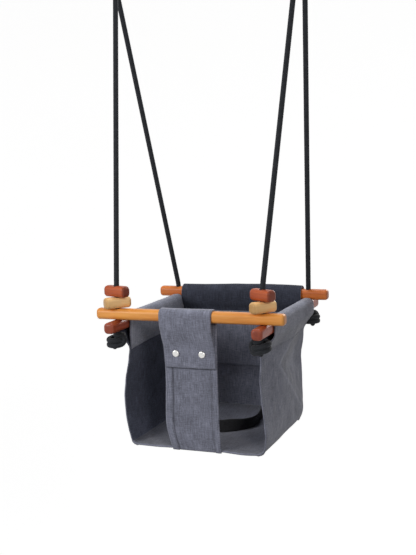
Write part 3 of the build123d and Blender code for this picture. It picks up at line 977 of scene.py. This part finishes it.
def back_half(side, zb):
    """Half the back wall's width on one side: it ends inside the side wall."""
    if zb > -36:
        return BACK_SLEEVE_HALF
    corner = wall_x(side, 1.0, zb) - 1.9 + (1.5 * bell(zb, -125, 32) if side < 0 else 0.0)
    return BACK_SLEEVE_HALF + (corner - BACK_SLEEVE_HALF) * smoothstep(-36, -50, zb)


def back_place(share, y, zb):
    """A place at that y and height, share of the back wall's half width from its middle, left is -1."""
    half = back_half(1 if share > 0 else -1, zb)
    return Vector((share * half * MM, y * MM, BAR_Z + zb * MM))


def back_wall():
    """Canvas round the back bar in a loose sleeve and down to the seat base."""
    loop = [(145.3, -39), (143.6, -33), (138.5, -25), (135.0, -13), (134.4, -2), (136.6, 8), (142.2, 15),
            (150, 17.6), (157.6, 15.4), (163.4, 8.4), (165.0, -2), (163.6, -14), (159.0, -26), (153.2, -36)]
    levels = [-48, -64, -82, -100, -120, -140, -160, -180, -200, -218, -236, -252]
    loop_counts = [3, 4, 5, 4, 4, 3, 3, 3, 3, 4, 5, 5, 4, 4]
    counts = loop_counts + [6] * (len(levels) - 1) + [5, 3]
    shares = [2 * place - 1 for place in marks(1.0, 0.0105)]
    columns = []
    for share in shares:
        slack = 1.6 * sin(2.4 * share + 0.7)  # the sleeve rides a little higher on one side
        points = [back_place(share, y, zb + (slack if zb > 0 else 0)) for y, zb in loop]
        points += [back_place(share, back_y(zb), zb) for zb in levels]
        points += [back_place(share, 130.5, -264), back_place(share, 122, -269)]
        columns.append(smooth_run(points, counts))
    grid = [list(row) for row in zip(*columns)]
    start = sum(loop_counts)

    def hold(i, j):
        edge = min(j, len(grid[0]) - 1 - j)
        return (0.4 + 0.6 * smoothstep(0, 14, i - start)) * smoothstep(-2, 8, edge)

    crumple(grid, -1, 1.3 * MM, 58 * MM, 21.3, hold)
    crumple(grid, -1, 0.4 * MM, 17 * MM, 4.9, hold)
    us, vs = measured(grid)
    full, low = us[-1], vs[start]
    seams = [[(4 * MM, low), (full - 4 * MM, low)], [(4 * MM, 3.6 * MM), (full - 4 * MM, 3.6 * MM)]]

    def wear_and_shade(u, v):
        # Painted shade on the lower front of the back sleeve, where it curls under the bar, fading out 12 to
        # 48 mm up the cloth.
        shaded = -0.6 * (1 - smoothstep(12 * MM, 48 * MM, v))
        # Painted shade in the grooves along the two stitch rows.
        return shaded - 0.2 * bell(v, low + 1.5 * MM, 1.6 * MM) - 0.25 * bell(v, 5 * MM, 1.4 * MM)

    # The whole inner face is darkened with painted shade, on top of the darker canvas copy.
    return cloth("back_wall", "back_panel", grid, -1, wear_and_shade=wear_and_shade, inner_shade=-0.5, seams=seams, materials=SHADED_INSIDE)


def facing_layer():
    """A second layer inside the back wall, hemmed along its lower edge."""
    levels = [-37, -52, -70, -88, -106, -124, -142, -158]
    shares = [2 * place - 1 for place in marks(1.0, 0.0105)]
    columns = []
    for share in shares:
        points = [back_place(0.965 * share, back_y(zb) - 3.4, zb) for zb in levels]
        columns.append(smooth_run(points, [5] + [6] * (len(levels) - 2)))
    grid = [list(row) for row in zip(*columns)]
    crumple(grid, 1, 0.5 * MM, 40 * MM, 11.0)

    full, deep = running_lengths(grid[-1])[-1], measured(grid)[1][-1]
    seams = [[(4 * MM, deep - 3 * MM), (full - 4 * MM, deep - 3 * MM)]]

    def rise(u, v):
        return 0.7 * MM * ridge(v, deep - 11 * MM, 3 * MM)

    # The facing is darkened all over with painted shade, as it hangs inside the seat.
    return cloth("back_lining", "back_facing", grid, 1, 0.7 * MM, rise, lambda *place: -0.5, seams=seams)


# ---- seat floor
FLOOR_FRONT, FLOOR_EDGE = -266.9, -257.0  # the floor's height at the front, and where walls meet it
FLOOR_HEM = 13 * MM


def floor_height(x, y):
    """Height of the middle of the seat floor's thickness."""
    lift = 21 * smoothstep(20, 132, y) ** 1.3
    sag = 2.6 * bell(x, 96, 34) + 1.2 * bell(x, -96, 40)
    return FLOOR_FRONT + lift - sag * smoothstep(-70, -130, y)


def seat_floor():
    """The doubled canvas floor: hemmed at the front, turned up to the walls, raised at the back."""
    deep = 262
    rows = marks(deep * MM, 2.6 * MM, (FLOOR_HEM,))
    shares = [2 * place - 1 for place in marks(1.0, 0.0098)]
    grid = []
    for row in rows:
        y = -131.5 + row / MM
        line = []
        for share in shares:
            back_share = min(max((y + 130) / deep, 0.0), 1.0)
            edge = wall_x(1 if share > 0 else -1, back_share, FLOOR_EDGE) - 1.8
            x = share * edge
            near = max(abs(x) - (edge - 14), 0.0) / 14
            turned_up = 8.0 * (1 - sqrt(max(1 - 0.86 * near**2, 0.0)))
            line.append(Vector((x * MM, y * MM, BAR_Z + (floor_height(x, y) + turned_up) * MM)))
        grid.append(line)
    last = len(grid[0]) - 1

    def hold(i, j):
        return smoothstep(0, 9, min(j, last - j)) * smoothstep(0, 6, i + 2)

    crumple(grid, 1, 1.1 * MM, 55 * MM, 31.0, hold)
    crumple(grid, 1, 0.4 * MM, 18 * MM, 2.0, hold)

    def rise(u, v):
        return 0.9 * MM * (1 - ridge(v, FLOOR_HEM))

    full = measured(grid)[0][-1]
    seams = [[(5 * MM, v), (full - 5 * MM, v)] for v in (FLOOR_HEM - 1.8 * MM, 2.6 * MM)]

    def wear_and_shade(u, v):
        # Painted shade all over the floor inside the seat. At the front fold there is less of it, and the
        # fold is lighter with rubbed wear there. Painted shade also lies in the groove beside the hem.
        return -0.62 + 0.5 * bell(v, 0, 4 * MM) - 0.12 * bell(v, FLOOR_HEM + 1 * MM, 1.4 * MM)

    return cloth("seat_floor", "seat_base", grid, 1, 1.1 * MM, rise, wear_and_shade, seams=seams)


# ---- crotch strap and its flap
SEAM_IN = 2 * MM  # a hem's stitches from its fold
EDGE_ROW = 2.4 * MM  # the outer row's stitches from the band's edge


def hemmed_band(name, node, line, counts, edges, half, hems, seed, end_hem=False):
    """A long band of canvas that follows a line of (y, height) places, with a folded hem on each side.

    edges gives its left and right edge, as tables of (height, x). hems are the hems' widths. end_hem
    folds its lower end too, and takes one row of stitches round that end.
    """
    spine = smooth_run([Vector((0, y * MM, BAR_Z + zb * MM)) for y, zb in line], counts)
    wide = 104 * MM
    across = marks(wide, 2.4 * MM, (hems[0], wide - hems[1]))
    grid = []
    for point in spine:
        zb = (point.z - BAR_Z) / MM
        left, right_edge = (interpolate(table, zb) * MM for table in edges)
        grid.append([Vector((left + (right_edge - left) * u / wide, point.y, point.z)) for u in across])
    crumple(grid, 1, 0.7 * MM, 34 * MM, seed, lambda i, j: smoothstep(-1, 5, min(i, len(grid) - 1 - i)))
    us, vs = measured(grid)
    full, tall = us[-1], vs[-1]
    left_hem, right_hem = hems[0], full - hems[1]
    left_row, right_row = left_hem - SEAM_IN, right_hem + SEAM_IN

    def doubled(u):
        return max(1 - ridge(u, left_hem), ridge(u, right_hem))

    def rise(u, v):
        turned = doubled(u)
        if end_hem:
            turned = max(turned, ridge(v, tall - 12 * MM, 3 * MM))
        groove = bell(u, left_row, 0.8 * MM) + bell(u, right_row, 0.8 * MM)
        return 1.25 * MM * turned - 0.4 * MM * groove

    def wear_and_shade(u, v):
        # Hem bands lighter, and the cut edges lighter again with rubbed wear.
        lighter_hems_and_edges = 0.1 * doubled(u) + 0.12 * (bell(u, 0, 2 * MM) + bell(u, full, 2 * MM))
        # Painted shadow in a thin line on the single cloth just beside each hem band, where the hem steps
        # down.
        hem_shadow = 0.55 * bell(u, left_hem + 0.9 * MM, 1.2 * MM)
        hem_shadow += 0.45 * bell(u, right_hem - 0.9 * MM, 1.1 * MM)
        # Painted shade in the grooves along the hem stitch rows.
        sewn = 0.14 * (bell(u, left_row, 0.9 * MM) + bell(u, right_row, 0.9 * MM))
        if end_hem:
            # Painted shade in the groove along the end hem's stitch row.
            between = ridge(u, left_hem) * (1 - ridge(u, right_hem))
            sewn += 0.24 * bell(v, tall - 12.5 * MM, 1.0 * MM) * between
            lighter_hems_and_edges += 0.12 * bell(v, tall, 2 * MM)
        return lighter_hems_and_edges - hem_shadow - sewn

    if end_hem:
        seams = []
        for left, right_side, foot in (
            (left_row, right_row, tall - 10 * MM),
            (EDGE_ROW, full - EDGE_ROW, tall - EDGE_ROW),
        ):
            seams.append([(left, 2 * MM), (left, foot), (right_side, foot), (right_side, 2 * MM)])
    else:
        rows = (left_row, right_row, EDGE_ROW, full - EDGE_ROW)
        seams = [[(at, 3 * MM), (at, tall - 3 * MM)] for at in rows]
    return cloth(name, node, grid, 1, half, rise, wear_and_shade, seams=seams)


def crotch_strap():
    """From the front hem of the seat, up behind the front bar, and over it."""
    line = [(-132.6, -269), (-134.3, -250), (-137.2, -210), (-141.2, -165), (-145.6, -125), (-147.8, -98),
            (-147.8, -76), (-147.6, -56), (-143.5, -38), (-138.6, -20), (-137.1, -6), (-137.4, 4),
            (-139.8, 10), (-144.2, 12.9), (-150.6, 13.2)]
    counts = [7, 14, 16, 14, 10, 8, 7, 7, 7, 6, 5, 4, 4, 4]
    left = [(-269, -49), (-240, -56), (-212, -59.5), (-165, -56), (-105, -51.5), (-60, -53), (13, -56)]
    right_edge = [(-269, 51), (-240, 50), (-208, 50), (-157, 51.5), (-104, 53.5), (-60, 54), (13, 50)]
    edges, hems = (left, right_edge), (13.5 * MM, 11.5 * MM)
    return hemmed_band("crotch_band", "crotch_strap", line, counts, edges, 1.1 * MM, hems, 51.0)


def strap_flap():
    """From the top of the front bar down its front, hemmed all round, to the snaps."""
    line = [(-150.0, 13.15), (-155.2, 12.6), (-159.6, 9.6), (-162.1, 4), (-162.9, -4), (-162.7, -16),
            (-159.6, -34), (-155.6, -50), (-153.4, -62), (-153.3, -80), (-153.3, -99)]
    counts = [4, 4, 4, 5, 6, 8, 7, 6, 7, 8]
    left = [(-99, -49.5), (-60, -52), (-30, -54.5), (13.2, -56)]
    right_edge = [(-99, 53.5), (-55, 51), (-26, 49), (13.2, 50)]
    edges, hems = (left, right_edge), (13.5 * MM, 13 * MM)
    return hemmed_band("strap_flap_cloth", "strap_flap", line, counts, edges, 1.05 * MM, hems, 77.0, True)


# ---- lap belt
def belt(name, node, line, seed):
    """Webbing on edge on the seat floor, along a line of (x, y) places. Its top edge waves a little."""
    spine = smooth_run([Vector((x * MM, y * MM, 0)) for x, y in line], [12] * (len(line) - 1))
    tall, steps = 25 * MM, 10
    lowest = (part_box(node)[0].z - BAR_Z) / MM
    grid = []
    lengths = running_lengths(spine)
    for i, point in enumerate(spine):
        ahead = spine[min(i + 1, len(spine) - 1)] - spine[max(i - 1, 0)]
        aside = Vector((-ahead.y, ahead.x, 0)).normalized()
        free = smoothstep(0, 30 * MM, lengths[i]) * smoothstep(0, 26 * MM, lengths[-1] - lengths[i])
        base = max(floor_height(point.x / MM, point.y / MM) + 1.6, lowest)
        row = []
        for k in range(steps + 1):
            up_share = k / steps
            lean = free * (5.5 * MM * sin(seed + lengths[i] / (17 * MM)) + 2 * MM) * up_share**1.5
            drop = free * 2.4 * MM * (0.5 + 0.5 * sin(2.1 * seed + lengths[i] / (13 * MM))) * up_share
            row.append(point + aside * lean + Vector((0, 0, BAR_Z + base * MM + tall * up_share - drop)))
        grid.append(row)
    return cloth(name, node, grid, materials=(black_webbing,))


belt_y = sum(corner.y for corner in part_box("buckle_socket")) / 2 / MM
socket_x, plug_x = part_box("buckle_socket")[0].x / MM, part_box("buckle_plug")[1].x / MM
left_route = [(-64, 127), (-70, 90), (-76, 50), (-76, 14), (-68, -10), (socket_x - 0.3, belt_y)]
right_route = [(66, 127), (65, 88), (57, 40), (38, 4), (18, -12), (plug_x + 0.3, belt_y)]

# ---- each piece with its kind, its one or two bodies, and how it is listed as held and resting; a piece with one body is attached to it, and one with two has its transform baked
LIFTED = ("seat", "front_bar", (0, -0.04, below(140)), (0, -0.13, below(268)))
FOLDED = ("front_bar", "strap_flap", (0, -0.1500, below(-13)), (0, -0.1530, below(-12.4)))
RELEASED = ("seat", "buckle_plug", (0.064, 0.08, below(250)), (0.006, -0.016, below(250)))
for (piece, size), slot, bodies, held, resting in (
    (side_wall(-1, "left"), "canvas", LIFTED, "hung", "left_side_bar"),
    (side_wall(1, "right"), "canvas", LIFTED, "hung", "right_side_bar"),
    (back_wall(), "canvas", ("seat",), "hung", "back_bar"),
    (facing_layer(), "canvas", ("seat",), "hung", "back_wall"),
    (seat_floor(), "canvas", LIFTED, "hung", "back_wall"),
    (crotch_strap(), "canvas", ("front_bar",), "hung", "front_bar"),
    (strap_flap(), "canvas", FOLDED, "hung", "front_bar"),
    (belt("left_lap_belt", "belt_left", left_route, 1.0), "webbing", ("seat",), "laid", "seat_floor"),
    (belt("right_lap_belt", "belt_right", right_route, 2.6), "webbing", RELEASED, "laid", "seat_floor"),
):
    if len(bodies) == 1:
        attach(piece, *bodies)
    else:
        first, second, start, end = bodies
        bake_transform(piece)
        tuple(start)
        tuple(end)
